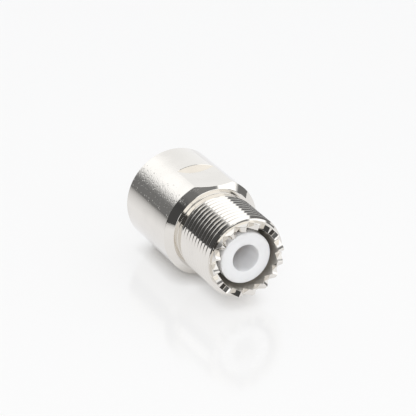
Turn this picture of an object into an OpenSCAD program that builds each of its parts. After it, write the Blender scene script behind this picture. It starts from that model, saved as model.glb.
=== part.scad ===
// Cable jack for radio coaxial cable with the 5/8-24 coupling thread.
// It stands on the end of its clamp nut: Z runs along the axis, up to the toothed front rim.
// The coupling thread is a row of grooves that don't climb. The rear thread is plain, at its pitch diameter.

/* [Barrel] */
// Diameter of the plain barrel
barrel_d = 19.2; // [18.6:0.1:22]
// Length of the barrel from its rear rim to the start of the front chamfer
barrel_l = 15.8; // [15:0.1:24]
// Size of the 45 degree chamfer at the barrel's front
front_chamfer = 1.3; // [0.6:0.1:1.4]
// Size of the small chamfer round the barrel's rear rim
rim_chamfer = 0.15; // [0.05:0.05:0.5]
// Distance across the two wrench flats
flats_across = 17.6; // [17.2:0.1:18.5]
// Length of the wrench flats, back from the start of the front chamfer
flats_l = 7.4; // [4:0.1:10]

/* [Coupling thread] */
// Diameter over the crests of the coupling thread
coupling_d = 15.8; // [15.6:0.05:15.9]
// Length of the coupling thread, from the neck to the front face
coupling_l = 10.75; // [9:0.05:16]
// Pitch of the coupling thread
thread_pitch = 1.0583; // [0.9:0.0001:1.3]
// Depth of the coupling thread's grooves
thread_depth = 0.57; // [0.3:0.01:0.6]
// Size of the 45 degree chamfer at the front of the coupling thread
coupling_chamfer = 0.55; // [0.3:0.05:0.6]
// Diameter of the plain neck behind the coupling thread
neck_d = 14.9; // [14.6:0.1:15.3]
// Length of the neck
neck_l = 1.65; // [0.8:0.05:3]

/* [Toothed rim] */
// Number of locking teeth round the rim
tooth_n = 16; // [8:1:20]
// Height of the rim above the front face
tooth_h = 1.5; // [0.8:0.1:2]
// Outer diameter of the toothed rim
rim_d = 14.25; // [13.6:0.05:14.4]
// Depth of the notches between the teeth
notch_depth = 1.4; // [0.6:0.05:1.6]
// Angle between the two sides of a notch
notch_angle = 77; // [50:1:85]

/* [Bores of the barrel] */
// Diameter of the front cavity, which takes the nose of the plug
cavity_d = 12; // [11.4:0.1:12.4]
// Depth of the front cavity below the front face
cavity_depth = 8; // [4:0.1:9]
// Thickness of the ring that the front insulator passes through and seats behind
seat_l = 3.5; // [2:0.1:5]
// Diameter of the bore that holds the insulators
insulator_bore_d = 12.5; // [11.4:0.1:12.8]
// Pitch diameter of the rear thread, in the barrel and on the clamp nut
rear_thread_d = 14; // [13.6:0.1:15]
// Depth of the rear thread's bore, from the rear rim to its shoulder
rear_bore_l = 11.1; // [10.6:0.1:13]
// Size of the lead-in chamfer at the mouth of the rear bore
rear_mouth = 0.4; // [0.2:0.1:0.8]

/* [Insulators] */
// Diameter of the front insulator's nose
nose_d = 10; // [9:0.1:10.4]
// Diameter of the hole for the plug's pin
pin_hole_d = 5.25; // [5.1:0.05:6]
// How far the front insulator stands out of the front face
nose_proud = 0.15; // [0:0.05:1]
// Radius of the rounded edge of the front insulator's nose
nose_round = 0.25; // [0.1:0.05:0.5]
// Thickness of the front insulator's flange
flange_l = 2.3; // [1.5:0.1:3]

/* [Centre contact] */
// Bore of the contact's socket, for a 4 mm pin
socket_d = 4; // [3.8:0.05:4.2]
// Outer diameter of the contact's socket
socket_od = 5.1; // [4.7:0.05:5.1]
// Depth of the socket's mouth below the front insulator's face
socket_recess = 7.5; // [5:0.1:8]
// Depth of the socket
socket_l = 6; // [5:0.1:7]
// Width of the slots between the socket's tines
slot_w = 0.5; // [0.3:0.05:0.7]
// Length of the slots
slot_l = 4.8; // [3:0.1:5.5]
// Diameter of the contact's collar
collar_d = 6.8; // [5.8:0.1:8]
// Thickness of the collar
collar_l = 1.2; // [0.8:0.1:2]
// Outer diameter of the solder cup
cup_od = 4.4; // [3.8:0.1:5]
// Bore of the solder cup, for the cable's inner conductor
cup_d = 2.8; // [2.3:0.1:3.2]
// Depth of the solder cup
cup_depth = 4.1; // [3:0.1:4.2]

/* [Cable clamp] */
// Bore of the clamp ring, for the cable's dielectric
clamp_bore_d = 7.5; // [7:0.1:9]
// Thickness of the clamp ring
clamp_l = 2.2; // [1.5:0.1:3]
// Height of the clamp ring's wedge, which presses into the gasket
wedge_h = 0.8; // [0.4:0.1:1.2]
// Width of the wedge at its foot
wedge_w = 1; // [0.6:0.1:1.1]
// Thickness of the gasket
gasket_l = 2.5; // [2:0.1:3.5]
// Thickness of the slip washer
washer_l = 0.8; // [0.5:0.1:1.2]
// Bore of the gasket, the slip washer and the clamp nut, for the cable's jacket
jacket_bore_d = 10.6; // [9.6:0.1:11]

/* [Clamp nut] */
// Diameter of the clamp nut's head
head_d = 15; // [14.6:0.1:15.6]
// Length of the head
head_l = 2.2; // [1.5:0.1:4]
// Distance across the head's flats
head_across = 13; // [12.6:0.1:14]
// Gap between the head and the barrel's rear rim when the nut is tight
head_gap = 0.3; // [0.2:0.05:1]
// Length of the relief between the head and the thread
relief_l = 0.8; // [0.6:0.1:1.2]
// Depth of the relief below the thread
relief_depth = 0.6; // [0.5:0.05:0.8]
// Size of the chamfers on the clamp nut
nut_chamfer = 0.3; // [0.1:0.05:0.5]

/* [Fits] */
// Clearance all round a piece that is pushed into its bore
seat_fit = 0.05; // [0.03:0.01:0.08]
// Clearance all round the clamp nut's thread
thread_fit = 0.05; // [0.03:0.01:0.08]
// Clearance all round the clamp ring, the gasket and the slip washer, which pass the rear thread's crests
ring_fit = 0.2; // [0.18:0.01:0.4]

/* [Hidden] */
$fn = 96;
tiny = 0.01;

// Heights along the axis, from the clamp nut's end
rim_z = head_l + head_gap;
cone_z = rim_z + barrel_l;
shelf_z = cone_z + front_chamfer;
coupling_z = shelf_z + neck_l;
front_z = coupling_z + coupling_l;
tip_z = front_z + tooth_h;
cavity_z = front_z - cavity_depth;
seat_z = cavity_z - seat_l;
shoulder_z = rim_z + rear_bore_l;
flange_z = seat_z - flange_l;
nose_z = front_z + nose_proud;
clamp_z = shoulder_z - clamp_l;
gasket_z = clamp_z - gasket_l;
washer_z = gasket_z - washer_l;
socket_z = nose_z - socket_recess;
ring_r = rear_thread_d / 2 - ring_fit;
wedge_r = (jacket_bore_d / 2 + ring_r) / 2;

// Shape of the coupling thread: its flat crests and roots, its sloped flanks and its number of grooves
crest_l = thread_pitch / 8;
root_l = thread_pitch / 4;
flank_l = (thread_pitch - crest_l - root_l) / 2;
thread_low = coupling_z + (coupling_d - neck_d) / 2;
thread_high = front_z - coupling_chamfer;
groove_count = floor((thread_high - thread_low - crest_l) / thread_pitch);
groove_low = (thread_low + thread_high - groove_count * thread_pitch + crest_l) / 2;

// A solid of revolution about the axis, from its half section
module turned(section) {
    rotate_extrude()
        polygon(section);
}

// Cuts a pair of flats, facing -Y and +Y, between two heights
module flats_cut(across, reach, low, high) {
    for (side = [-1, 1])
        translate([-reach, side > 0 ? across / 2 : -across / 2 - reach, low])
            cube([2 * reach, reach, high - low]);
}

// One notch of the toothed rim, cut outwards along X
module notch() {
    deep = notch_depth + tiny;
    half = deep * tan(notch_angle / 2);
    translate([cavity_d / 4, 0, tip_z - notch_depth])
        rotate([90, 0, 90])
            linear_extrude(rim_d / 2)
                polygon([[0, 0], [half, deep], [-half, deep]]);
}

// Half section of the coupling thread, from its lowest crest to its highest
function grooves() = [
    for (i = [0 : groove_count - 1])
        let (crest_r = coupling_d / 2, root_r = crest_r - thread_depth, low = groove_low + i * thread_pitch)
        each [
            [crest_r, low],
            [root_r, low + flank_l],
            [root_r, low + flank_l + root_l],
            [crest_r, low + 2 * flank_l + root_l]
        ]
];

module connector_body() {
    barrel_r = barrel_d / 2;
    coupling_r = coupling_d / 2;
    neck_r = neck_d / 2;
    rear_r = rear_thread_d / 2;
    nose_bore_r = nose_d / 2 + seat_fit;
    color([0.80, 0.78, 0.74])
        difference() {
            turned(concat(
                [
                    [rear_r + rear_mouth, rim_z],
                    [barrel_r - rim_chamfer, rim_z],
                    [barrel_r, rim_z + rim_chamfer],
                    [barrel_r, cone_z],
                    [barrel_r - front_chamfer, shelf_z],
                    [neck_r, shelf_z],
                    [neck_r, coupling_z],
                    [coupling_r, thread_low]
                ],
                grooves(),
                [
                    [coupling_r, thread_high],
                    [coupling_r - coupling_chamfer, front_z],
                    [rim_d / 2, front_z],
                    [rim_d / 2, tip_z],
                    [cavity_d / 2, tip_z],
                    [cavity_d / 2, cavity_z],
                    [nose_bore_r, cavity_z],
                    [nose_bore_r, seat_z],
                    [insulator_bore_d / 2, seat_z],
                    [insulator_bore_d / 2, shoulder_z],
                    [rear_r, shoulder_z],
                    [rear_r, rim_z + rear_mouth]
                ]
            ));
            flats_cut(flats_across, barrel_d, cone_z - flats_l, shelf_z + tiny);
            for (i = [0 : tooth_n - 1])
                rotate(i * 360 / tooth_n)
                    notch();
        }
}

module front_insulator() {
    nose_r = nose_d / 2;
    hole_r = pin_hole_d / 2;
    round_steps = 4;
    edge = [for (i = [0 : round_steps]) let (a = 90 * i / round_steps)
        [nose_r - nose_round * (1 - cos(a)), nose_z - nose_round * (1 - sin(a))]];
    color([0.93, 0.94, 0.95])
        turned(concat(
            [
                [hole_r, flange_z],
                [insulator_bore_d / 2 - seat_fit, flange_z],
                [insulator_bore_d / 2 - seat_fit, seat_z],
                [nose_r, seat_z]
            ],
            edge,
            [[hole_r, nose_z]]
        ));
}

module rear_insulator() {
    collar_r = collar_d / 2 + seat_fit;
    outer_r = insulator_bore_d / 2 - seat_fit;
    stem_r = cup_od / 2 + seat_fit;
    color([0.90, 0.91, 0.92])
        turned([
            [stem_r, shoulder_z],
            [outer_r, shoulder_z],
            [outer_r, flange_z],
            [collar_r, flange_z],
            [collar_r, flange_z - collar_l],
            [stem_r, flange_z - collar_l]
        ]);
}

module centre_contact() {
    socket_r = socket_d / 2;
    cup_r = cup_d / 2;
    color([0.86, 0.76, 0.52])
        difference() {
            turned([
                [0, shoulder_z + cup_depth],
                [cup_r, shoulder_z + cup_depth],
                [cup_r, shoulder_z],
                [cup_od / 2, shoulder_z],
                [cup_od / 2, flange_z - collar_l],
                [collar_d / 2, flange_z - collar_l],
                [collar_d / 2, flange_z],
                [socket_od / 2, flange_z],
                [socket_od / 2, socket_z],
                [socket_r, socket_z],
                [socket_r, socket_z - socket_l],
                [0, socket_z - socket_l]
            ]);
            for (turn = [0, 90])
                rotate(turn)
                    translate([-socket_od, -slot_w / 2, socket_z - slot_l])
                        cube([2 * socket_od, slot_w, slot_l + tiny]);
        }
}

// The clamp ring: the cable's braid is folded back over its wedge
module braid_clamp() {
    color([0.78, 0.74, 0.62])
        turned([
            [clamp_bore_d / 2, clamp_z],
            [wedge_r - wedge_w / 2, clamp_z],
            [wedge_r, clamp_z - wedge_h],
            [wedge_r + wedge_w / 2, clamp_z],
            [ring_r, clamp_z],
            [ring_r, shoulder_z],
            [clamp_bore_d / 2, shoulder_z]
        ]);
}

module gasket() {
    color([0.12, 0.12, 0.12])
        turned([
            [jacket_bore_d / 2, gasket_z],
            [ring_r, gasket_z],
            [ring_r, clamp_z],
            [wedge_r + wedge_w / 2, clamp_z],
            [wedge_r, clamp_z - wedge_h],
            [wedge_r - wedge_w / 2, clamp_z],
            [jacket_bore_d / 2, clamp_z]
        ]);
}

module slip_washer() {
    color([0.82, 0.80, 0.76])
        turned([
            [jacket_bore_d / 2, washer_z],
            [ring_r, washer_z],
            [ring_r, gasket_z],
            [jacket_bore_d / 2, gasket_z]
        ]);
}

module clamp_nut() {
    head_r = head_d / 2;
    bore_r = jacket_bore_d / 2;
    screw_r = rear_thread_d / 2 - thread_fit;
    color([0.80, 0.78, 0.74])
        difference() {
            turned([
                [bore_r + nut_chamfer, 0],
                [head_r - nut_chamfer, 0],
                [head_r, nut_chamfer],
                [head_r, head_l],
                [screw_r - relief_depth, head_l],
                [screw_r - relief_depth, head_l + relief_l],
                [screw_r, head_l + relief_l],
                [screw_r, washer_z - nut_chamfer],
                [screw_r - nut_chamfer, washer_z],
                [bore_r, washer_z],
                [bore_r, nut_chamfer]
            ]);
            flats_cut(head_across, head_d, -tiny, head_l + head_gap);
        }
}

connector_body();
front_insulator();
rear_insulator();
centre_contact();
braid_clamp();
gasket();
slip_washer();
clamp_nut();
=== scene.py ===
"""Dresses the packed frame of a jack for coaxial cable: threads, toothed rim, finishes and studio."""
import math

import bmesh
import bpy
from mathutils import Matrix, Vector


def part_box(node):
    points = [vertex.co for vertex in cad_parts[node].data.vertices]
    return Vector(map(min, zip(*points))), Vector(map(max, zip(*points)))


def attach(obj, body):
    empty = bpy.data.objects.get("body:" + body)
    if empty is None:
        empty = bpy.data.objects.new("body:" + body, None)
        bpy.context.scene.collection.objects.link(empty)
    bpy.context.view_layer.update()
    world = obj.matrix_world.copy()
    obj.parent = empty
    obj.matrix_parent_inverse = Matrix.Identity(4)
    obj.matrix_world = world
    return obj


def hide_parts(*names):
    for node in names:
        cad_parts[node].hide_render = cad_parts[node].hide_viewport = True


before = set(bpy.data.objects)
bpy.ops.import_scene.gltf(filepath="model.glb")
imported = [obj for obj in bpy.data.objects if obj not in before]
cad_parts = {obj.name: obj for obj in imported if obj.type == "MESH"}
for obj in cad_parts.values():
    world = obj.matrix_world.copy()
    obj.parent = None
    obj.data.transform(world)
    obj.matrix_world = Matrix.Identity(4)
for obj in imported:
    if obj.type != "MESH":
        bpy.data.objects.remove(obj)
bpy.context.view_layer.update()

bl_info = {
    "name": "Coaxial cable jack",
    "version": (1, 0, 0),
    "blender": (4, 5, 0),
    "location": "View3D > Sidebar > Cable jack",
    "description": "Makes a coaxial cable jack with threads, toothed rim and clamp nut, and its studio",
    "category": "Add Mesh",
}

MM = 0.001
# Points closer than this are one point
TOUCH = 0.001 * MM
# Columns of points round the axis, and how many of them each tooth of the rim takes
COLUMNS = 192
TOOTH_COLUMNS = 12
# How far the inner wall of the toothed rim reaches below the front face
RIM_FOOT = 0.1 * MM
# Flat crest and flat root of the threads, as shares of the half pitch
THREAD_FORM = (0.125, 0.25)


# Properties

def length(name, description, value):
    """A length that the user sets in metres."""
    return bpy.props.FloatProperty(
        name=name, description=description, default=value, min=0.0, precision=5, unit="LENGTH",
        subtype="DISTANCE")


def share(name, description, value):
    """A number from 0 to 1."""
    return bpy.props.FloatProperty(
        name=name, description=description, default=value, min=0.0, max=1.0, subtype="FACTOR")


def level(name, description, value):
    """A brightness, where 1 is white."""
    return bpy.props.FloatProperty(name=name, description=description, default=value, min=0.0)


def angle(name, description, degrees):
    """An angle, shown in degrees and kept in radians."""
    return bpy.props.FloatProperty(
        name=name, description=description, default=math.radians(degrees), unit="ROTATION", subtype="ANGLE")


def colour(name, description, value):
    """A linear colour without alpha."""
    return bpy.props.FloatVectorProperty(
        name=name, description=description, default=value, size=3, min=0.0, max=1.0, subtype="COLOR")


class CABLEJACK_PG_barrel(bpy.types.PropertyGroup):
    """Sizes of the plain barrel, its wrench flats and its bores."""
    radius: length("Radius", "Radius of the plain barrel", 9.6 * MM)
    rear: length("Rear rim", "Height of the barrel's rear rim", 2.5 * MM)
    rim_round: length("Rim rounding", "Radius of the rear rim's outer edge", 0.15 * MM)
    cone: length("Chamfer start", "Height where the front chamfer starts", 18.3 * MM)
    shelf: length("Shelf", "Height of the flat shelf in front of the chamfer", 19.6 * MM)
    flat: length("Flat distance", "Distance of each wrench flat from the axis", 8.8 * MM)
    flat_rear: length("Flat rear end", "Height of the step behind the wrench flats", 10.9 * MM)
    edge: length("Edge break", "Size of the small break along machined edges", 0.05 * MM)
    neck: length("Neck radius", "Radius of the plain neck behind the coupling thread", 7.45 * MM)
    cavity: length("Cavity radius", "Radius of the front cavity", 6.0 * MM)
    cavity_floor: length("Cavity floor", "Height of the cavity's floor", 24.0 * MM)
    nose_bore: length("Nose bore radius", "Radius of the bore round the insulator's nose", 5.05 * MM)
    seat: length("Seat", "Height of the seat of the front insulator", 20.5 * MM)
    insulator_bore: length("Insulator bore radius", "Radius of the insulators' bore", 6.25 * MM)
    shoulder: length("Shoulder", "Height of the shoulder behind the insulators", 13.6 * MM)
    rear_minor: length("Rear thread, ridges", "Radius of the rear thread's ridges", 6.84 * MM)
    rear_major: length("Rear thread, grooves", "Radius of the rear thread's grooves", 7.26 * MM)
    rear_mouth: length("Rear mouth radius", "Radius of the lead-in at the rear rim", 7.4 * MM)
    rear_thread_end: length("Rear thread's end", "Height where the rear thread runs out", 9.6 * MM)
    rear_pitch: length("Rear pitch", "Pitch of the rear thread", 0.75 * MM)


class CABLEJACK_PG_coupling(bpy.types.PropertyGroup):
    """Sizes of the coupling thread."""
    start: length("Start", "Height where the thread starts", 21.25 * MM)
    front: length("Front face", "Height of the front face", 32.0 * MM)
    crest: length("Crest radius", "Radius over the crests", 7.9 * MM)
    root: length("Root radius", "Radius at the roots", 7.33 * MM)
    mouth: length("Mouth radius", "Radius of the front chamfer at the front face", 7.35 * MM)
    pitch: length("Pitch", "Advance of the thread in one turn", 1.0583 * MM)
    crest_share: share("Crest share", "Share of the half pitch that the flat crest takes", THREAD_FORM[0])
    root_share: share("Root share", "Share of the half pitch that the flat root takes", THREAD_FORM[1])
    turn: share("Turn", "Where the thread starts, in turns", 0.625)


class CABLEJACK_PG_rim(bpy.types.PropertyGroup):
    """Sizes of the toothed rim."""
    teeth: bpy.props.IntProperty(name="Teeth", description="Number of locking teeth", default=16, min=8)
    radius: length("Radius", "Outer radius of the toothed rim", 7.125 * MM)
    tip: length("Tips", "Height of the teeth's tips", 33.5 * MM)
    notch: length("Notch depth", "Depth of the notches", 1.4 * MM)
    half_angle: angle("Half angle", "Angle of each side of a notch from the axis", 38.5)
    edge: length("Edge break", "Size of the small break along the teeth's edges", 0.03 * MM)


class CABLEJACK_PG_insulator(bpy.types.PropertyGroup):
    """Sizes of the white front insulator."""
    nose: length("Nose radius", "Radius of the nose", 5.0 * MM)
    hole: length("Hole radius", "Radius of the hole for the plug's pin", 2.625 * MM)
    top: length("Face", "Height of the front face", 32.15 * MM)
    rounding: length("Rounding", "Radius of the nose's rounded edge", 0.25 * MM)
    hole_rounding: length("Hole rounding", "Radius of the hole's rounded edge", 0.1 * MM)
    flange: length("Flange radius", "Radius of the flange behind the seat", 6.2 * MM)
    rear: length("Rear end", "Height of the flange's rear end", 18.2 * MM)


class CABLEJACK_PG_nut(bpy.types.PropertyGroup):
    """Sizes of the clamp nut."""
    head: length("Head radius", "Radius of the head", 7.5 * MM)
    head_top: length("Head height", "Height of the head's inner side", 2.2 * MM)
    flat: length("Flat distance", "Distance of the head's flats from the axis", 6.5 * MM)
    chamfer: length("Chamfer", "Size of the chamfers", 0.3 * MM)
    relief: length("Relief radius", "Radius of the relief behind the head", 6.35 * MM)
    thread_start: length("Thread start", "Height where the thread starts", 3.0 * MM)
    end: length("Inner end", "Height of the end that presses on the slip washer", 8.1 * MM)
    mouth: length("End radius", "Radius of the inner end's chamfer", 6.65 * MM)
    crest: length("Crest radius", "Radius over the nut's crests", 7.19 * MM)
    root: length("Root radius", "Radius at the nut's roots", 6.73 * MM)
    bore: length("Bore radius", "Radius of the bore for the cable's jacket", 5.3 * MM)


class CABLEJACK_PG_finish(bpy.types.PropertyGroup):
    """Colours and textures of the finishes."""
    nickel: colour("Nickel", "Colour of the nickel plate", (0.79, 0.755, 0.70))
    insulator: colour("Insulator", "Colour of the white insulators", (0.96, 0.96, 0.975))
    gold: colour("Gold", "Colour of the contact's plating", (0.86, 0.66, 0.34))
    brass: colour("Brass", "Colour of the bare brass", (0.72, 0.56, 0.30))
    rubber: colour("Rubber", "Colour of the gasket", (0.025, 0.025, 0.027))
    grain: length("Plating grain", "Size of the plating's orange peel", 0.29 * MM)
    grain_depth: length("Plating depth", "Depth of the plating's orange peel", 0.0088 * MM)
    pit_spacing: length("Pit spacing", "Spacing of the small pits in the plating", 0.5 * MM)
    pit_depth: length("Pit depth", "Depth of the deepest pits in the plating", 0.03 * MM)
    grain_turn: angle("Plating side", "Turn about the axis of the side where the peel shows most", 297)
    pit_turn: angle("Pit side", "Turn about the axis of the side that has the pits", 323)
    lines: length("Turning lines", "Spacing of the turning lines", 0.12 * MM)


class CABLEJACK_PG_studio(bpy.types.PropertyGroup):
    """The floor, the lights and the camera."""
    floor: colour("Floor", "Colour of the floor", (0.92, 0.90, 0.87))
    floor_size: length("Floor size", "Half the width of the floor", 3.0)
    # The floor's glow is painted light that lightens its broad shadow
    glow: share("Floor glow", "Share of the floor's brightness that no broad shadow dims", 0.79)
    contact: length("Contact shadow", "Reach of the shadow where the object touches the floor", 3.3 * MM)
    walls: level("Walls", "Brightness of the studio's pale walls", 1.07)
    ceiling: level("Ceiling", "Brightness of the softbox overhead", 1.4)
    key: level("Key", "Brightness of the softbox behind the object", 1.5)
    side: level("Side", "Brightness of the softboxes at the right and by the camera", 1.5)
    fill: bpy.props.FloatProperty(
        name="Fill", description="Power of the small lamp in front", default=1.28, min=0.0, unit="POWER")
    dark: level("Dark side", "Brightness of the dark part of the studio, in front and at the left", 0.2)
    lens: bpy.props.FloatProperty(
        name="Lens", description="Focal length in millimetres", default=201.9, min=1.0)
    distance: length("Distance", "Distance of the camera from the aim point", 0.4274)


# Helpers for node trees

def add(tree, kind, **settings):
    """A new node in the tree, with its settings."""
    node = tree.nodes.new(kind)
    for key, value in settings.items():
        setattr(node, key, value)
    return node


def feed(tree, value, socket):
    """Joins an output to a socket, or writes a plain value on it."""
    if isinstance(value, bpy.types.NodeSocket):
        tree.links.new(value, socket)
    else:
        socket.default_value = value


def calc(tree, operation, *values):
    """A maths node on numbers and outputs."""
    node = add(tree, "ShaderNodeMath", operation=operation)
    for value, socket in zip(values, node.inputs):
        feed(tree, value, socket)
    return node.outputs[0]


def vector_calc(tree, operation, *values, scale=None):
    """A vector maths node on vectors and outputs."""
    node = add(tree, "ShaderNodeVectorMath", operation=operation)
    for value, socket in zip(values, node.inputs):
        feed(tree, value, socket)
    if scale is not None:
        feed(tree, scale, node.inputs["Scale"])
    return node.outputs["Value"] if operation in {"DOT_PRODUCT", "LENGTH"} else node.outputs["Vector"]


def product(tree, first, *others):
    """Numbers and outputs multiplied."""
    for value in others:
        first = calc(tree, "MULTIPLY", first, value)
    return first


def between(tree, value, low, high):
    """A value held between two others."""
    return calc(tree, "MINIMUM", calc(tree, "MAXIMUM", value, low), high)


def split(tree, vector):
    """The X, Y and Z outputs of a vector."""
    node = add(tree, "ShaderNodeSeparateXYZ")
    feed(tree, vector, node.inputs[0])
    return node.outputs


def combined(tree, *values):
    """A vector of its X, Y and Z."""
    node = add(tree, "ShaderNodeCombineXYZ")
    for value, socket in zip(values, node.inputs):
        feed(tree, value, socket)
    return node.outputs[0]


def ramp(tree, value, low, high, start=0.0, end=1.0):
    """A smooth step of a value, from start at low to end at high."""
    node = add(tree, "ShaderNodeMapRange", interpolation_type="SMOOTHSTEP")
    names = ("Value", "From Min", "From Max", "To Min", "To Max")
    for name, given in zip(names, (value, low, high, start, end)):
        feed(tree, given, node.inputs[name])
    return node.outputs["Result"]


def mixed(tree, kind, factor, first, second):
    """A mix of two numbers (FLOAT) or of two colours (RGBA)."""
    node = add(tree, "ShaderNodeMix", data_type=kind)
    feed(tree, factor, node.inputs["Factor"])
    feed(tree, first, node.inputs["A"])
    feed(tree, second, node.inputs["B"])
    return node.outputs["Result"]


def scaled(tree, spot, spacing):
    """A place in units of a spacing."""
    return vector_calc(tree, "SCALE", spot, scale=calc(tree, "DIVIDE", 1.0, spacing))


def noise(tree, place, scale, detail):
    """Soft noise from 0 to 1."""
    node = add(tree, "ShaderNodeTexNoise", noise_dimensions="3D")
    feed(tree, place, node.inputs["Vector"])
    node.inputs["Scale"].default_value = scale
    node.inputs["Detail"].default_value = detail
    return node.outputs["Fac"]


def cells(tree, place):
    """Random cells, with the distance from each one's centre and its colour as outputs."""
    node = add(tree, "ShaderNodeTexVoronoi", feature="F1")
    node.inputs["Scale"].default_value = 1.0
    feed(tree, place, node.inputs["Vector"])
    return node.outputs


def node_group(name, kind, inputs, outputs):
    """A new group and the outputs of its input node. A socket is given by its name, kind and default."""
    tree = bpy.data.node_groups.new(name, kind)
    for direction, rows in (("INPUT", inputs), ("OUTPUT", outputs)):
        for title, value_kind, default in rows:
            socket_type = "NodeSocket" + value_kind
            socket = tree.interface.new_socket(title, in_out=direction, socket_type=socket_type)
            if default is not None:
                socket.default_value = default
    return tree, add(tree, "NodeGroupInput").outputs


# Geometry node trees

def thread_tree():
    """A band of thread: a grid wound round the axis, whose rows climb one pitch a turn."""
    tree = bpy.data.node_groups.get("Helical thread")
    if tree:
        return tree
    tree, given = node_group(
        "Helical thread", "GeometryNodeTree",
        [("Geometry", "Geometry", None), ("Low", "Float", 0.0), ("Low radius", "Float", 0.01),
         ("High", "Float", 0.01), ("High radius", "Float", 0.01), ("Crest radius", "Float", 0.01),
         ("Root radius", "Float", 0.009), ("Pitch", "Float", 0.001), ("Turn", "Float", 0.0),
         ("Crest share", "Float", THREAD_FORM[0]), ("Root share", "Float", THREAD_FORM[1]),
         ("Turns", "Int", 4), ("Steps", "Int", 12), ("Columns", "Int", COLUMNS),
         ("Material", "Material", None)],
        [("Geometry", "Geometry", None)])
    tree.is_modifier = True
    low, high, pitch = given["Low"], given["High"], given["Pitch"]

    grid = add(tree, "GeometryNodeMeshGrid")
    grid.inputs["Size X"].default_value = 1.0
    grid.inputs["Size Y"].default_value = 1.0
    feed(tree, calc(tree, "ADD", given["Columns"], 1.0), grid.inputs["Vertices X"])
    rows = calc(tree, "MULTIPLY", given["Turns"], given["Steps"])
    feed(tree, calc(tree, "ADD", rows, 1.0), grid.inputs["Vertices Y"])

    x, y, _ = split(tree, add(tree, "GeometryNodeInputPosition").outputs[0])
    across = calc(tree, "ADD", x, 0.5)
    along = calc(tree, "ADD", y, 0.5)
    climb = product(tree, calc(tree, "ADD", calc(tree, "MULTIPLY", along, given["Turns"]), across), pitch)
    raw = calc(tree, "ADD", calc(tree, "SUBTRACT", low, pitch), climb)
    height = between(tree, raw, low, high)
    over_low = calc(tree, "SUBTRACT", height, low)
    under_high = calc(tree, "SUBTRACT", high, height)

    phase = calc(tree, "SUBTRACT", calc(tree, "DIVIDE", over_low, pitch), across)
    phase = calc(tree, "FRACT", calc(tree, "ADD", phase, given["Turn"]))
    ridge = calc(tree, "ABSOLUTE", calc(tree, "SUBTRACT", calc(tree, "MULTIPLY", phase, 2.0), 1.0))
    flank = calc(tree, "SUBTRACT", 1.0, calc(tree, "ADD", given["Root share"], given["Crest share"]))
    rise = calc(tree, "DIVIDE", calc(tree, "SUBTRACT", ridge, given["Root share"]), flank)
    rise = between(tree, rise, 0.0, 1.0)
    depth = calc(tree, "SUBTRACT", given["Crest radius"], given["Root radius"])
    radius = calc(tree, "ADD", given["Root radius"], calc(tree, "MULTIPLY", depth, rise))
    for joined, bound in (("ADD", "MINIMUM"), ("SUBTRACT", "MAXIMUM")):
        radius = calc(tree, bound, radius, calc(tree, joined, given["Low radius"], over_low))
        radius = calc(tree, bound, radius, calc(tree, joined, given["High radius"], under_high))

    bearing = calc(tree, "MULTIPLY", across, math.tau)
    x, y = (calc(tree, "MULTIPLY", radius, calc(tree, wave, bearing)) for wave in ("COSINE", "SINE"))
    move = add(tree, "GeometryNodeSetPosition")
    feed(tree, grid.outputs["Mesh"], move.inputs["Geometry"])
    feed(tree, combined(tree, x, y, height), move.inputs["Position"])
    merge = add(tree, "GeometryNodeMergeByDistance")
    merge.inputs["Distance"].default_value = TOUCH
    feed(tree, move.outputs["Geometry"], merge.inputs["Geometry"])
    finish_tree(tree, merge.outputs["Geometry"], given["Material"])
    return tree


def ring_tree():
    """Copies of one sector, turned round the axis."""
    tree = bpy.data.node_groups.get("Ring of sectors")
    if tree:
        return tree
    tree, given = node_group(
        "Ring of sectors", "GeometryNodeTree",
        [("Geometry", "Geometry", None), ("Count", "Int", 16), ("Material", "Material", None)],
        [("Geometry", "Geometry", None)])
    tree.is_modifier = True
    points = add(tree, "GeometryNodePoints")
    feed(tree, given["Count"], points.inputs["Count"])
    step = calc(tree, "DIVIDE", math.tau, given["Count"])
    spin = calc(tree, "MULTIPLY", add(tree, "GeometryNodeInputIndex").outputs[0], step)
    turn = add(tree, "FunctionNodeEulerToRotation")
    feed(tree, combined(tree, 0.0, 0.0, spin), turn.inputs[0])
    copies = add(tree, "GeometryNodeInstanceOnPoints")
    feed(tree, points.outputs[0], copies.inputs["Points"])
    feed(tree, given["Geometry"], copies.inputs["Instance"])
    feed(tree, turn.outputs[0], copies.inputs["Rotation"])
    finish_tree(tree, copies.outputs["Instances"], given["Material"])
    return tree


def finish_tree(tree, geometry, material):
    """Ends a tree: makes its instances real and gives them the material."""
    real = add(tree, "GeometryNodeRealizeInstances")
    paint = add(tree, "GeometryNodeSetMaterial")
    feed(tree, geometry, real.inputs["Geometry"])
    feed(tree, real.outputs["Geometry"], paint.inputs["Geometry"])
    feed(tree, material, paint.inputs["Material"])
    feed(tree, paint.outputs["Geometry"], add(tree, "NodeGroupOutput").inputs[0])


def grown(tree, mesh, values):
    """The plain mesh that a tree makes of a mesh, with the tree's inputs set by their identifiers."""
    holder = bpy.data.objects.new("holder", mesh)
    bpy.context.scene.collection.objects.link(holder)
    modifier = holder.modifiers.new("tree", "NODES")
    modifier.node_group = tree
    for item in tree.interface.items_tree:
        if item.item_type == "SOCKET" and item.in_out == "INPUT" and item.name in values:
            modifier[item.identifier] = values[item.name]
    result = bpy.data.meshes.new_from_object(holder.evaluated_get(bpy.context.evaluated_depsgraph_get()))
    holder.modifiers.remove(modifier)
    bpy.data.objects.remove(holder)
    return result


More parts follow.
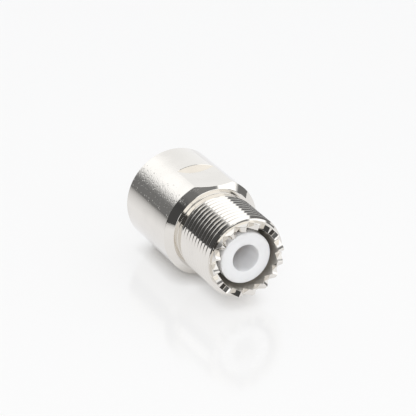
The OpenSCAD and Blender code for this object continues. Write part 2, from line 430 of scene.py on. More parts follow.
def thread_band(low, high, radii, pitch, form, turn, steps, material):
    """One band of thread between two heights; radii are those of the low end, high end, crests and roots.

    Form is the flat crest and root, turn where it starts, and steps the rows of points in one turn."""
    values = {"Low": low, "High": high, "Pitch": pitch, "Turn": turn, "Steps": steps, "Columns": COLUMNS,
              "Turns": math.ceil((high - low) / pitch) + 2, "Material": material}
    values.update(zip(("Low radius", "High radius", "Crest radius", "Root radius"), radii))
    values.update(zip(("Crest share", "Root share"), form))
    return grown(thread_tree(), bpy.data.meshes.new("band"), values)


# Helpers for meshes

class Skin:
    """Rings of points round the axis, joined into one skin. Going up the outside, it faces outwards."""

    def __init__(self):
        self.turns = [math.tau * i / COLUMNS for i in range(COLUMNS)]
        self.points = []
        self.quads = []

    def ring(self, radius, height, turns=None):
        """Adds one ring; its radius and height are numbers, or lists with one number a column."""
        first = len(self.points)
        for i, turn in enumerate(turns or self.turns):
            out, up = (size[i] if isinstance(size, list) else size for size in (radius, height))
            self.points.append((out * math.cos(turn), out * math.sin(turn), up))
        return first

    def join(self, first, second):
        """Quads from one ring to the next."""
        for i in range(COLUMNS):
            j = (i + 1) % COLUMNS
            self.quads.append((first + i, first + j, second + j, second + i))

    def climb(self, rows, last=None):
        """Joins rows of (radius, height) or (radius, height, turns), and returns the last ring."""
        for row in rows:
            ring = self.ring(*row)
            if last is not None:
                self.join(last, ring)
            last = ring
        return last


def rounded(corners, smooth=math.radians(18), hold=0.06 * MM):
    """A section with rounded corners, from (radius, height, rounding) points.

    Smooth is the most that one step of a corner turns. Hold is how far past the corner a wall has a row that
    keeps its shading flat."""
    rows = []
    for i, (r, z, rounding) in enumerate(corners):
        here = Vector((r, z))
        if not rounding or i in (0, len(corners) - 1):
            rows.append((r, z))
            continue
        back = (Vector(corners[i - 1][:2]) - here).normalized()
        ahead = (Vector(corners[i + 1][:2]) - here).normalized()
        bend = math.pi - back.angle(ahead)
        reach = rounding * math.tan(bend / 2)
        middle = here + (back + ahead).normalized() * rounding / math.cos(bend / 2)
        start, end = here + back * reach - middle, here + ahead * reach - middle
        steps = max(1, math.ceil(bend / smooth))
        rows.append(tuple(here + back * (reach + hold)))
        for k in range(steps + 1):
            t = k / steps
            spoke = (start * math.sin((1 - t) * bend) + end * math.sin(t * bend)) / math.sin(bend)
            rows.append(tuple(middle + spoke))
        rows.append(tuple(here + ahead * (reach + hold)))
    return rows


def closed_mesh(name, skin, bands, material, sharp=math.radians(20)):
    """One closed mesh of a skin and its bands, smooth but for edges that turn by more than sharp."""
    mesh = bpy.data.meshes.new(name)
    mesh.from_pydata(skin.points, [], skin.quads)
    work = bmesh.new()
    work.from_mesh(mesh)
    for band in bands:
        work.from_mesh(band)
        bpy.data.meshes.remove(band)
    bmesh.ops.remove_doubles(work, verts=work.verts, dist=TOUCH)
    bmesh.ops.dissolve_degenerate(work, edges=work.edges, dist=TOUCH / 10)
    open_edges = [edge for edge in work.edges if len(edge.link_faces) != 2]
    if open_edges:
        spots = sorted({tuple(round(c / MM, 2) for c in edge.verts[0].co) for edge in open_edges})
        raise RuntimeError(f"{name} has {len(open_edges)} open edges, such as at {spots[:6]} mm")
    bmesh.ops.recalc_face_normals(work, faces=work.faces)
    if work.calc_volume(signed=True) < 0:
        bmesh.ops.reverse_faces(work, faces=work.faces)
    for face in work.faces:
        face.smooth = True
        face.material_index = 0
    for edge in work.edges:
        edge.smooth = edge.calc_face_angle(0.0) < sharp
    work.to_mesh(mesh)
    work.free()
    mesh.materials.clear()
    mesh.materials.append(material)
    return mesh


def settle(mesh, body, node, proud=0.01 * MM):
    """Puts a finished mesh in a node's place, and checks how far it stands proud of the node's box."""
    piece = bpy.data.objects.new(mesh.name, mesh)
    bpy.context.scene.collection.objects.link(piece)
    low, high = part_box(node)
    for vertex in mesh.vertices:
        if any(not least - proud <= at <= most + proud for at, least, most in zip(vertex.co, low, high)):
            raise RuntimeError(f"{mesh.name} reaches outside {node} at {tuple(vertex.co)}")
    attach(piece, body)
    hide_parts(node)


# Finishes

def across_axis(tree, spot):
    """The part of a place that leads from the axis straight outwards."""
    return vector_calc(tree, "MULTIPLY", spot, (1.0, 1.0, 0.0))


def peel_group():
    """Orange peel of a plated or moulded surface: small domes, pits, and slow spots of tone.

    The peel is calm within a radius, and outside it everywhere but on one side. The pits have a radius and
    a side of their own."""
    tree = bpy.data.node_groups.get("Orange peel")
    if tree:
        return tree
    tree, given = node_group(
        "Orange peel", "ShaderNodeTree",
        [("Grain", "Float", 0.4 * MM), ("Depth", "Float", 0.006 * MM), ("Side", "Vector", (0.0, 0.0, 0.0)),
         ("Calm radius", "Float", 0.0), ("Calm share", "Float", 1.0),
         ("Pit spacing", "Float", 0.5 * MM), ("Pit depth", "Float", 0.0), ("Pit radius", "Float", 0.0),
         ("Pit side", "Vector", (0.0, 0.0, 0.0))],
        [("Height", "Float", None), ("Tone", "Float", None)])
    spot = add(tree, "ShaderNodeTexCoord").outputs["Object"]
    reach = vector_calc(tree, "LENGTH", across_axis(tree, spot))
    outwards = vector_calc(tree, "NORMALIZE", across_axis(tree, spot))

    # How strong the peel is: it grows over a rim outside the calm radius, and where the wall faces its side
    rim, calm_side, side_edge = 1.5 * MM, 0.2, (0.76, 0.83)
    facing = vector_calc(tree, "DOT_PRODUCT", outwards, given["Side"])
    outside = ramp(tree, calc(tree, "SUBTRACT", reach, given["Calm radius"]), 0.0, rim)
    outside = product(tree, outside, ramp(tree, facing, *side_edge, calm_side, 1.0))
    more = calc(tree, "SUBTRACT", 1.0, given["Calm share"])
    strength = calc(tree, "ADD", given["Calm share"], product(tree, outside, more))
    place = scaled(tree, spot, given["Grain"])
    domes = calc(tree, "POWER", cells(tree, place)["Distance"], 2.0)
    rise = calc(tree, "SUBTRACT", noise(tree, place, scale=0.6, detail=2.0), domes)
    peel = product(tree, rise, strength, given["Depth"])

    # Round pits of random depth, each in a cell of its own
    pit_size, pit_side_edge = 0.45, (0.935, 0.975)
    facing = vector_calc(tree, "DOT_PRODUCT", outwards, given["Pit side"])
    pitted = calc(tree, "GREATER_THAN", reach, given["Pit radius"])
    pitted = product(tree, pitted, ramp(tree, facing, *pit_side_edge))
    pits = cells(tree, scaled(tree, spot, given["Pit spacing"]))
    bowl = calc(tree, "POWER", calc(tree, "DIVIDE", pits["Distance"], pit_size), 2.0)
    bowl = calc(tree, "POWER", calc(tree, "MAXIMUM", calc(tree, "SUBTRACT", 1.0, bowl), 0.0), 2.0)
    pit = product(tree, bowl, split(tree, pits["Color"])["X"], pitted, given["Pit depth"])

    out = add(tree, "NodeGroupOutput").inputs
    feed(tree, calc(tree, "SUBTRACT", peel, pit), out["Height"])
    feed(tree, noise(tree, spot, scale=260.0, detail=3.0), out["Tone"])
    return tree


def turning_group():
    """Fine lines that a lathe tool leaves, round the axis on walls and faces alike."""
    tree = bpy.data.node_groups.get("Turning lines")
    if tree:
        return tree
    tree, given = node_group(
        "Turning lines", "ShaderNodeTree",
        [("Spacing", "Float", 0.12 * MM), ("Depth", "Float", 0.001 * MM)],
        [("Height", "Float", None), ("Mask", "Float", None)])
    change_a_metre = 90.0
    spot = add(tree, "ShaderNodeTexCoord").outputs["Object"]
    x, _, z = split(tree, spot)
    reach = vector_calc(tree, "LENGTH", across_axis(tree, spot))
    steps = [calc(tree, "DIVIDE", value, given["Spacing"]) for value in (reach, z)]
    place = combined(tree, *steps, calc(tree, "MULTIPLY", x, change_a_metre))
    mask = noise(tree, place, scale=1.0, detail=2.0)
    out = add(tree, "NodeGroupOutput").inputs
    feed(tree, product(tree, calc(tree, "SUBTRACT", mask, 0.5), given["Depth"]), out["Height"])
    feed(tree, mask, out["Mask"])
    return tree


def placed(tree, group, values):
    """Places a group in a tree with its inputs set, and returns its outputs."""
    node = add(tree, "ShaderNodeGroup", node_tree=group)
    for name, value in values.items():
        node.inputs[name].default_value = value
    return node.outputs


def shaded(name, base, dip, metallic, roughness, peel, lines, satin=None, **plain):
    """A material: its base colour, what is left of it in darker spots, and the range of its roughness.

    Peel and lines are the inputs of their groups. Satin gives a bore its own roughness, inside a radius and
    above a height: (radius, height, roughness). Plain values go to the shader's sockets of those names."""
    material = bpy.data.materials.get(name)
    if material:
        return material
    material = bpy.data.materials.new(name)
    material.use_nodes = True
    tree = material.node_tree
    shader = tree.nodes["Principled BSDF"].inputs
    skin = placed(tree, peel_group(), peel)
    turned = placed(tree, turning_group(), lines)

    spot_edge, line_edge = (0.42, 0.68), (0.35, 0.7)
    spots = ramp(tree, skin["Tone"], *spot_edge)
    darker = [c * dip for c in base]
    feed(tree, mixed(tree, "RGBA", spots, (*base, 1.0), (*darker, 1.0)), shader["Base Color"])
    rough = ramp(tree, turned["Mask"], *line_edge, *roughness)
    if satin:
        radius, height, value = satin
        spot = add(tree, "ShaderNodeTexCoord").outputs["Object"]
        inside = calc(tree, "LESS_THAN", vector_calc(tree, "LENGTH", across_axis(tree, spot)), radius)
        above = calc(tree, "GREATER_THAN", split(tree, spot)["Z"], height)
        rough = calc(tree, "MAXIMUM", rough, product(tree, inside, above, value))
    feed(tree, rough, shader["Roughness"])
    bump = add(tree, "ShaderNodeBump")
    bump.inputs["Strength"].default_value = 1.0
    bump.inputs["Distance"].default_value = 1.0
    feed(tree, calc(tree, "ADD", skin["Height"], turned["Height"]), bump.inputs["Height"])
    feed(tree, bump.outputs["Normal"], shader["Normal"])
    shader["Metallic"].default_value = metallic
    for key, value in plain.items():
        shader[key.replace("_", " ")].default_value = value
    return material


def nickel(scene):
    """Bright nickel plate over turned brass, with its peel and pits on one side of the barrel."""
    finish, barrel = scene.cable_jack_finish, scene.cable_jack_barrel
    peel_side, pit_side = ((math.cos(t), math.sin(t), 0.0) for t in (finish.grain_turn, finish.pit_turn))
    return shaded(
        "bright_nickel", finish.nickel, dip=0.97, metallic=1.0, roughness=(0.04, 0.07),
        peel={"Grain": finish.grain, "Depth": finish.grain_depth, "Side": peel_side,
              "Calm radius": scene.cable_jack_coupling.crest + 0.2 * MM, "Calm share": 0.09,
              "Pit spacing": finish.pit_spacing, "Pit depth": finish.pit_depth, "Pit side": pit_side,
              "Pit radius": barrel.radius - barrel.edge},
        lines={"Spacing": finish.lines, "Depth": 0.0003 * MM},
        satin=(barrel.cavity + 0.02 * MM, barrel.seat - 0.5 * MM, 0.55))


def white(scene):
    """Waxy white turned plastic, which light enters a little."""
    return shaded(
        "waxy_white", scene.cable_jack_finish.insulator, dip=0.97, metallic=0.0, roughness=(0.30, 0.42),
        peel={"Grain": 0.6 * MM, "Depth": 0.004 * MM}, lines={"Spacing": 0.15 * MM, "Depth": 0.001 * MM},
        Subsurface_Weight=0.8, Subsurface_Radius=[1.2 * MM] * 3, Subsurface_Scale=1.0)


def gold(scene):
    """Gold plate on the contact."""
    return shaded(
        "gold_plating", scene.cable_jack_finish.gold, dip=0.93, metallic=1.0, roughness=(0.16, 0.26),
        peel={"Grain": 0.3 * MM, "Depth": 0.003 * MM}, lines={"Spacing": 0.08 * MM, "Depth": 0.001 * MM})


def brass(scene):
    """Bare turned brass of the clamp ring."""
    return shaded(
        "bare_brass", scene.cable_jack_finish.brass, dip=0.85, metallic=1.0, roughness=(0.22, 0.38),
        peel={"Grain": 0.3 * MM, "Depth": 0.002 * MM}, lines={"Spacing": 0.10 * MM, "Depth": 0.002 * MM})


def rubber(scene):
    """Black moulded rubber of the gasket."""
    return shaded(
        "black_rubber", scene.cable_jack_finish.rubber, dip=0.7, metallic=0.0, roughness=(0.55, 0.75),
        peel={"Grain": 0.2 * MM, "Depth": 0.008 * MM}, lines={"Spacing": 0.3 * MM, "Depth": 0.002 * MM})


# Pieces

class CABLEJACK_OT_body(bpy.types.Operator):
    """Makes the barrel with its wrench flats, coupling thread, toothed rim and rear thread"""
    bl_idname = "cable_jack.body"
    bl_label = "Barrel and threads"

    def execute(self, context):
        scene = context.scene
        barrel, coupling, rim = scene.cable_jack_barrel, scene.cable_jack_coupling, scene.cable_jack_rim
        if COLUMNS != TOOTH_COLUMNS * rim.teeth:
            raise RuntimeError(f"the rim has room for {COLUMNS // TOOTH_COLUMNS} teeth")
        neck_fillet = 0.12 * MM
        skin = Skin()
        foot = skin.climb(rounded([
            (barrel.rear_mouth, barrel.rear, 0),
            (barrel.radius, barrel.rear, barrel.rim_round),
            (barrel.radius, barrel.flat_rear, 0)])[:-1])
        shelf = skin.climb(flat_rows(barrel), foot)
        skin.climb(rounded([
            (barrel.radius - barrel.shelf + barrel.cone - barrel.edge, barrel.shelf, 0),
            (barrel.neck, barrel.shelf, neck_fillet),
            (barrel.neck, coupling.start, 0)]), shelf)
        skin.climb([
            (coupling.mouth, coupling.front),
            (rim.radius, coupling.front, tooth_turns(rim, rim.radius))])
        skin.climb([
            (barrel.cavity, coupling.front - RIM_FOOT, tooth_turns(rim, barrel.cavity)),
            (barrel.cavity, barrel.cavity_floor),
            (barrel.nose_bore, barrel.cavity_floor),
            (barrel.nose_bore, barrel.seat),
            (barrel.insulator_bore, barrel.seat),
            (barrel.insulator_bore, barrel.shoulder),
            (barrel.rear_minor, barrel.shoulder),
            (barrel.rear_minor, barrel.rear_thread_end)])

        metal = nickel(scene)
        front = thread_band(
            coupling.start, coupling.front, (barrel.neck, coupling.mouth, coupling.crest, coupling.root),
            coupling.pitch, (coupling.crest_share, coupling.root_share), coupling.turn,
            steps=16, material=metal)
        rear = thread_band(
            barrel.rear, barrel.rear_thread_end,
            (barrel.rear_mouth, barrel.rear_minor, barrel.rear_minor, barrel.rear_major),
            barrel.rear_pitch, THREAD_FORM, turn=0.0, steps=8, material=metal)
        sector = tooth_sector(rim, coupling, barrel)
        teeth = grown(ring_tree(), sector, {"Count": rim.teeth, "Material": metal})
        mesh = closed_mesh("barrel_with_threads", skin, [front, rear, teeth], metal)
        settle(mesh, "shell", "connector_body")
        return {"FINISHED"}


def flatted(radius, flat, near):
    """Turns and radii of a ring with two flats, its columns moved so that some lie on the flats' edges.

    Near is the number of columns from a flat's middle to its edge, and as many more make room for them."""
    edge, near = math.acos(flat / radius), math.tau * near / COLUMNS
    turns, radii = [], []
    for i in range(COLUMNS):
        turn = math.tau * i / COLUMNS
        middle = math.copysign(math.pi / 2, math.sin(turn) or 1.0) % math.tau
        off = turn - middle
        if abs(off) <= near + TOUCH:
            off *= edge / near
        elif abs(off) < 2 * near:
            off = math.copysign(edge + (abs(off) - near) * (2 * near - edge) / near, off)
        turns.append(middle + off)
        radii.append(flat / math.cos(off) if abs(off) < edge - TOUCH else radius)
    return turns, radii


def flat_rows(barrel):
    """Rows of the barrel from behind the wrench flats to the shelf."""
    turns, across = flatted(barrel.radius, barrel.flat, near=12)
    edge = barrel.edge
    chamfer = barrel.shelf - barrel.cone
    front = [barrel.cone + min(max(barrel.radius - r, 0.0), chamfer) for r in across]
    slant = 0.7 * edge
    return [
        (barrel.radius, barrel.flat_rear - edge, turns),
        ([max(r, barrel.radius - edge) for r in across], barrel.flat_rear, turns),
        (across, barrel.flat_rear, turns),
        (across, [z - edge for z in front], turns),
        ([r - slant for r in across], [z + slant for z in front], turns),
        (barrel.radius - chamfer + slant, barrel.shelf - slant),
    ]


def tooth_columns(rim):
    """Sideways places of the columns on one side of a notch, without the middle of the tooth."""
    half = rim.notch * math.tan(rim.half_angle)
    return [0.0, 0.05 * MM, 0.3 * MM, 0.7 * MM, half - rim.edge, half + rim.edge]


def tooth_turns(rim, radius):
    """Turns of all the columns of the toothed rim, at one radius."""
    half_sector = math.pi / rim.teeth
    side = [math.asin(y / radius) for y in tooth_columns(rim)]
    sector = side + [half_sector] + [2 * half_sector - turn for turn in reversed(side[1:])]
    return [2 * half_sector * k + turn for k in range(rim.teeth) for turn in sector]


def tooth_sector(rim, coupling, barrel):
    """One notch with half a tooth on either side, from the middle of a tooth to the middle of the next."""
    half_sector = math.pi / rim.teeth
    side = tooth_columns(rim)
    places = [None] + [-y for y in reversed(side[1:])] + side + [None]
    floor = rim.tip - rim.notch
    points, quads, rows = [], [], 6
    for column, y in enumerate(places):
        crown = rim.tip
        if y is not None:
            crown = min(floor + max(abs(y), rim.edge) / math.tan(rim.half_angle), rim.tip)
        for radius, height in (
                (rim.radius, coupling.front),
                (rim.radius, crown - rim.edge),
                (rim.radius - rim.edge, crown),
                (barrel.cavity + rim.edge, crown),
                (barrel.cavity, crown - rim.edge),
                (barrel.cavity, coupling.front - RIM_FOOT)):
            if y is None:
                turn = -half_sector if column == 0 else half_sector
            else:
                turn = math.asin(y / radius)
            points.append((radius * math.cos(turn), radius * math.sin(turn), height))
    for column in range(len(places) - 1):
        for row in range(rows - 1):
            first = rows * column + row
            quads.append((first, first + rows, first + rows + 1, first + 1))
    mesh = bpy.data.meshes.new("sector")
    mesh.from_pydata(points, [], quads)
    return mesh


class CABLEJACK_OT_insulator(bpy.types.Operator):
    """Makes the white front insulator with the hole for the plug's pin"""
    bl_idname = "cable_jack.insulator"
    bl_label = "Front insulator"

    def execute(self, context):
        size, barrel = context.scene.cable_jack_insulator, context.scene.cable_jack_barrel
        fine, flange_round = 0.05 * MM, 0.1 * MM
        seam = size.rear + 1 * MM
        rows = rounded([
            (size.hole, seam, 0),
            (size.hole, size.rear, fine),
            (size.flange, size.rear, flange_round),
            (size.flange, barrel.seat, flange_round),
            (size.nose, barrel.seat, fine),
            (size.nose, size.top, size.rounding),
            (size.hole, size.top, size.hole_rounding),
            (size.hole, seam, 0)])[:-1]
        skin = Skin()
        first = skin.ring(*rows[0])
        skin.join(skin.climb(rows[1:], first), first)
        mesh = closed_mesh("white_insulator", skin, [], white(context.scene))
        settle(mesh, "shell", "front_insulator")
        return {"FINISHED"}


class CABLEJACK_OT_nut(bpy.types.Operator):
    """Makes the clamp nut with its head, flats and thread"""
    bl_idname = "cable_jack.nut"
    bl_label = "Clamp nut"

    def execute(self, context):
        nut, barrel = context.scene.cable_jack_nut, context.scene.cable_jack_barrel
        turns, reaches = flatted(nut.head, nut.flat, near=16)
        chamfer, edge = nut.chamfer, barrel.edge
        base = [min(r, nut.head - chamfer) for r in reaches]
        wall = [max(0.0, r - nut.head + chamfer) for r in reaches]
        skin = Skin()
        skin.climb([
            (nut.bore, chamfer),
            (nut.bore + chamfer, 0.0),
            (base, 0.0, turns),
            (reaches, wall, turns),
            (reaches, nut.head_top - edge, turns),
            ([r - edge for r in reaches], nut.head_top, turns),
            (nut.relief, nut.head_top),
            (nut.relief, nut.thread_start)])
        skin.climb([
            (nut.mouth, nut.end),
            (nut.bore, nut.end),
            (nut.bore, chamfer)])
        metal = nickel(context.scene)
        half_turn = 0.5
        turn = (nut.thread_start - barrel.rear) / barrel.rear_pitch + half_turn
        band = thread_band(
            nut.thread_start, nut.end, (nut.relief, nut.mouth, nut.crest, nut.root),
            barrel.rear_pitch, THREAD_FORM, turn % 1.0, steps=8, material=metal)
        mesh = closed_mesh("threaded_clamp_nut", skin, [band], metal)
        settle(mesh, "clamp_nut", "clamp_nut", proud=0.25 * MM)
        return {"FINISHED"}


class CABLEJACK_OT_inner_parts(bpy.types.Operator):
    """Gives the rear insulator, contact, clamp ring, gasket and slip washer their finishes"""
    bl_idname = "cable_jack.inner_parts"
    bl_label = "Inner parts"

    def execute(self, context):
        scene = context.scene
        finishes = {
            "rear_insulator": white(scene),
            "centre_contact": gold(scene),
            "braid_clamp": brass(scene),
            "gasket": rubber(scene),
            "slip_washer": nickel(scene),
        }
        for node, material in finishes.items():
            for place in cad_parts[node].material_slots:
                place.material = material
        return {"FINISHED"}


# Studio

# The photo's camera and its floor, in the part's frame, where the part stands on its rear end
UP = Vector((0.0735, -0.9973, 0.0)).normalized()
CAMERA_SIDE = Vector((0.4441, -0.4204, 0.7912)).normalized()
RIGHT = Vector((-0.8845, -0.0652, 0.4619)).normalized()
AHEAD = (CAMERA_SIDE - UP * CAMERA_SIDE.dot(UP)).normalized()
SIDEWAYS = UP.cross(AHEAD)
AIM = Vector((0.0, 0.0, 0.0225))
# In pixels: how far right of the photo's middle and above it the aim point stands, and the lens's length
AIM_RIGHT, AIM_ABOVE, LENS_PIXELS = 13.19, -28.70, 2332.7
WHITE = (1.0, 1.0, 1.0, 1.0)
# The slightly cool tints of the room's light and of the floor's painted glow
ROOM_TINT, PAINTED_GLOW_TINT = (0.98, 1.0, 1.03, 1.0), (0.985, 1.0, 1.04, 1.0)


def studio_direction(turn, elevation):
    """A direction in the photo's studio: turn 0 is towards the camera and 90 is the picture's right."""
    turn, elevation = math.radians(turn), math.radians(elevation)
    level_part = AHEAD * math.cos(turn) + SIDEWAYS * math.sin(turn)
    return level_part * math.cos(elevation) + UP * math.sin(elevation)


def sky_angles(tree):
    """The turn and the elevation of a ray of the world, in degrees."""
    ray = add(tree, "ShaderNodeTexCoord").outputs["Generated"]
    ahead, side, up = (vector_calc(tree, "DOT_PRODUCT", ray, axis) for axis in (AHEAD, SIDEWAYS, UP))
    angles = calc(tree, "ARCTAN2", side, ahead), calc(tree, "ARCSINE", up)
    return [calc(tree, "MULTIPLY", value, math.degrees(1)) for value in angles]


def hang_card(tree, angles, light, turns, elevations, edge, brightness):
    """Hangs a card with soft edges in the room's light, between two turns and two elevations in degrees."""
    mask = 1.0
    for place, (first, last) in zip(angles, (turns, elevations)):
        off = calc(tree, "WRAP", calc(tree, "SUBTRACT", place, (first + last) / 2), 180.0, -180.0)
        half = (last - first) / 2
        within = ramp(tree, calc(tree, "ABSOLUTE", off), half - edge, half + edge, 1.0, 0.0)
        mask = calc(tree, "MULTIPLY", mask, within)
    return mixed(tree, "FLOAT", mask, light, brightness)


def room_cards(studio):
    """The cards that the metal mirrors, each over the last: turns, elevations, soft edge, brightness.

    Elevations past 90 keep a card's soft edge off the point overhead."""
    ceiling, side, dark = studio.ceiling, studio.side, studio.dark
    return (
        # Softboxes overhead and behind the object, and the wall at the left behind it
        ((0, 360), (62, 120), 4, ceiling * 0.6),
        ((20, 205), (56, 125), 4, ceiling),
        ((166, 206), (39.5, 60), 7, studio.key),
        ((206, 300), (20, 45), 10, studio.walls * 1.25),
        # Softbox at the right, with dark cards below it and beside it
        ((82, 109), (17, 50), 2, side),
        ((70, 125), (-20, 18), 3, dark),
        ((68, 82), (-20, 30), 1.5, dark),
        # Dark side of the room, at the left and in front, and a dark strip at the right above
        ((225, 390), (-60, 22), 9, dark),
        ((236, 390), (-60, 11), 3, dark),
        ((244, 390), (-60, 60), 5, dark),
        ((20, 84), (48, 62), 3, dark * 1.3),
        ((272, 356), (-60, 40), 12, dark * 0.3),
        ((272, 395), (-60, 28), 8, dark * 0.35),
        # Softboxes in front at the right, and over and beside the camera
        ((33, 68), (12, 48), 1.5, side * 0.96),
        ((-12, 10), (18, 37), 2, side),
        ((10, 33), (30, 39), 2, side),
    )


def light_room(scene):
    """The room round the object, as far away as the sky: pale walls, with softboxes and dark cards."""
    studio = scene.cable_jack_studio
    world = bpy.data.worlds.new("studio")
    world.use_nodes = True
    tree = world.node_tree
    angles, light = sky_angles(tree), studio.walls
    for card in room_cards(studio):
        light = hang_card(tree, angles, light, *card)
    background = tree.nodes["Background"].inputs
    background["Color"].default_value = ROOM_TINT
    seen = add(tree, "ShaderNodeLightPath").outputs["Is Camera Ray"]
    feed(tree, calc(tree, "MAXIMUM", light, seen), background["Strength"])
    scene.world = world


def place_fill(scene):
    """A small soft lamp above the camera, which no metal mirrors."""
    turn, elevation, distance, width = -4, 31, 0.7, 0.3
    direction = studio_direction(turn, elevation)
    data = bpy.data.lights.new("front_fill", "AREA")
    data.shape = "DISK"
    data.size = width
    data.energy = scene.cable_jack_studio.fill
    lamp = bpy.data.objects.new("front_fill", data)
    lamp.location = AIM + direction * distance
    lamp.rotation_euler = direction.to_track_quat("Z", "Y").to_euler()
    lamp.visible_camera = lamp.visible_glossy = False
    scene.collection.objects.link(lamp)


def shader_mix(tree, factor, first, second):
    """A mix of two shaders' outputs."""
    node = add(tree, "ShaderNodeMixShader")
    for value, socket in zip((factor, first, second), node.inputs):
        feed(tree, value, socket)
    return node.outputs[0]


def painted_floor_glow(tree, camera_ray):
    """Painted floor light: white for the camera, else cooler and fading towards the left as painted shade.
    """
    # Past a line towards the left the glow fades: painted shade of the room's dark side, as the metal
    # mirrors the floor
    painted_shade_turn, painted_shade_start, painted_shade_reach = 265, 0.03912, 0.12
    glow = add(tree, "ShaderNodeEmission")
    spot = add(tree, "ShaderNodeTexCoord").outputs["Object"]
    off = vector_calc(tree, "SUBTRACT", spot, AIM)
    left = vector_calc(tree, "DOT_PRODUCT", off, studio_direction(painted_shade_turn, 0))
    past = calc(tree, "MAXIMUM", calc(tree, "SUBTRACT", left, painted_shade_start), 0.0)
    painted_shade = calc(tree, "DIVIDE", painted_shade_reach, calc(tree, "ADD", past, painted_shade_reach))
    feed(tree, mixed(tree, "RGBA", camera_ray, PAINTED_GLOW_TINT, WHITE), glow.inputs["Color"])
    # The camera sees the full glow; mirrored rays see it with the painted shade
    feed(tree, calc(tree, "MAXIMUM", painted_shade, camera_ray), glow.inputs["Strength"])
    return glow.outputs[0]


def floor_finish(studio):
    """The pale table: a painted glow over its broad shadow, a contact shadow where a mask takes that glow
    away, and a faint mirror image.

    It is seen from above only, so that a view from below shows the object."""
    material = bpy.data.materials.new("pale_floor")
    material.use_nodes = True
    tree = material.node_tree
    path = add(tree, "ShaderNodeLightPath").outputs
    camera_ray = path["Is Camera Ray"]
    shader = tree.nodes["Principled BSDF"]
    shader.inputs["Base Color"].default_value = (*studio.floor, 1.0)
    shader.inputs["Roughness"].default_value = 0.9
    shader.inputs["Specular IOR Level"].default_value = 0.1

    mirrored = calc(tree, "MAXIMUM", path["Is Glossy Ray"], path["Is Transmission Ray"])
    # Occlusion mask: near the object it takes the painted glow away, so the floor's real contact shadow
    # shows
    near = add(tree, "ShaderNodeAmbientOcclusion", samples=8)
    near.inputs["Distance"].default_value = studio.contact
    # Share of painted glow over the shaded floor, for the camera and mirrored rays
    painted_glow_share = product(tree, calc(tree, "MAXIMUM", camera_ray, mirrored), near.outputs["AO"], studio.glow)
    lit = shader_mix(tree, painted_glow_share, shader.outputs[0], painted_floor_glow(tree, camera_ray))

    gloss = add(tree, "ShaderNodeBsdfGlossy")
    gloss.inputs["Roughness"].default_value = 0.12
    gleam = add(tree, "ShaderNodeFresnel")
    gleam.inputs["IOR"].default_value = 1.45
    table = shader_mix(tree, product(tree, gleam.outputs[0], camera_ray), lit, gloss.outputs[0])

    below = add(tree, "ShaderNodeNewGeometry").outputs["Backfacing"]
    clear = add(tree, "ShaderNodeBsdfTransparent").outputs[0]
    feed(tree, shader_mix(tree, below, table, clear), tree.nodes["Material Output"].inputs["Surface"])
    return material


def lay_floor(scene):
    """The floor that the barrel lies on in the photo."""
    size = scene.cable_jack_studio.floor_size
    foot = AIM - UP * scene.cable_jack_barrel.radius
    signs = ((-1, -1), (-1, 1), (1, 1), (1, -1))
    corners = [foot + SIDEWAYS * a * size + AHEAD * b * size for a, b in signs]
    mesh = bpy.data.meshes.new("floor")
    mesh.from_pydata(corners, [], [(0, 1, 2, 3)])
    if mesh.polygons[0].normal.dot(UP) < 0:
        mesh.flip_normals()
    mesh.materials.append(floor_finish(scene.cable_jack_studio))
    piece = bpy.data.objects.new("floor", mesh)
    scene.collection.objects.link(piece)


def set_camera(scene):
    """The photo's view: a long lens, turned slightly so that the object stands where it does there."""
    studio = scene.cable_jack_studio
    base = Matrix((RIGHT, CAMERA_SIDE.cross(RIGHT), CAMERA_SIDE)).transposed()
    seen = base @ Vector((AIM_RIGHT / LENS_PIXELS, AIM_ABOVE / LENS_PIXELS, -1.0)).normalized()
    turn = seen.rotation_difference(-CAMERA_SIDE).to_matrix()
    data = bpy.data.cameras.new("camera")
    data.lens = studio.lens
    data.sensor_width = 36.0
    data.clip_start = 0.01
    data.clip_end = 20.0
    camera = bpy.data.objects.new("camera", data)
    camera.matrix_world = Matrix.Translation(AIM + CAMERA_SIDE * studio.distance) @ (turn @ base).to_4x4()
    scene.collection.objects.link(camera)
    scene.camera = camera


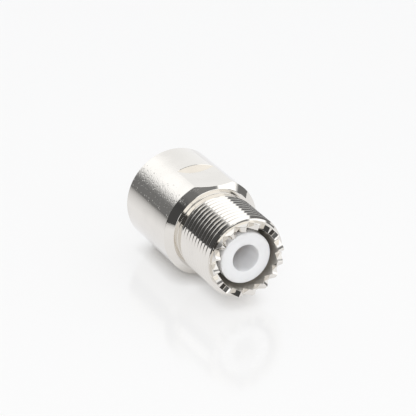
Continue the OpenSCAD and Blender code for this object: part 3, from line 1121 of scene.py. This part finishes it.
class CABLEJACK_OT_studio(bpy.types.Operator):
    """Makes the room with its softboxes, the lamp, the floor and the camera"""
    bl_idname = "cable_jack.studio"
    bl_label = "Studio"

    def execute(self, context):
        scene = context.scene
        scene.view_settings.view_transform = "Standard"
        light_room(scene)
        place_fill(scene)
        lay_floor(scene)
        set_camera(scene)
        return {"FINISHED"}


class CABLEJACK_PT_panel(bpy.types.Panel):
    """Lists the operators and the settings"""
    bl_idname = "CABLEJACK_PT_panel"
    bl_label = "Cable jack"
    bl_space_type = "VIEW_3D"
    bl_region_type = "UI"
    bl_category = "Cable jack"

    def draw(self, context):
        layout = self.layout
        for operator in OPERATORS:
            layout.operator(operator.bl_idname)
        for name, group in GROUPS:
            box = layout.box()
            box.label(text=group.__doc__)
            for key in group.__annotations__:
                box.prop(getattr(context.scene, name), key)


OPERATORS = (
    CABLEJACK_OT_studio,
    CABLEJACK_OT_body,
    CABLEJACK_OT_insulator,
    CABLEJACK_OT_nut,
    CABLEJACK_OT_inner_parts,
)
GROUPS = (
    ("cable_jack_barrel", CABLEJACK_PG_barrel),
    ("cable_jack_coupling", CABLEJACK_PG_coupling),
    ("cable_jack_rim", CABLEJACK_PG_rim),
    ("cable_jack_insulator", CABLEJACK_PG_insulator),
    ("cable_jack_nut", CABLEJACK_PG_nut),
    ("cable_jack_finish", CABLEJACK_PG_finish),
    ("cable_jack_studio", CABLEJACK_PG_studio),
)


def register():
    for name, group in GROUPS:
        bpy.utils.register_class(group)
        setattr(bpy.types.Scene, name, bpy.props.PointerProperty(type=group))
    for operator in OPERATORS:
        bpy.utils.register_class(operator)
    bpy.utils.register_class(CABLEJACK_PT_panel)


def unregister():
    bpy.utils.unregister_class(CABLEJACK_PT_panel)
    for operator in reversed(OPERATORS):
        bpy.utils.unregister_class(operator)
    for name, group in reversed(GROUPS):
        delattr(bpy.types.Scene, name)
        bpy.utils.unregister_class(group)


def main():
    """Makes the whole scene."""
    register()
    bpy.ops.cable_jack.studio()
    bpy.ops.cable_jack.body()
    bpy.ops.cable_jack.insulator()
    bpy.ops.cable_jack.nut()
    bpy.ops.cable_jack.inner_parts()


if __name__ == "__main__":
    main()
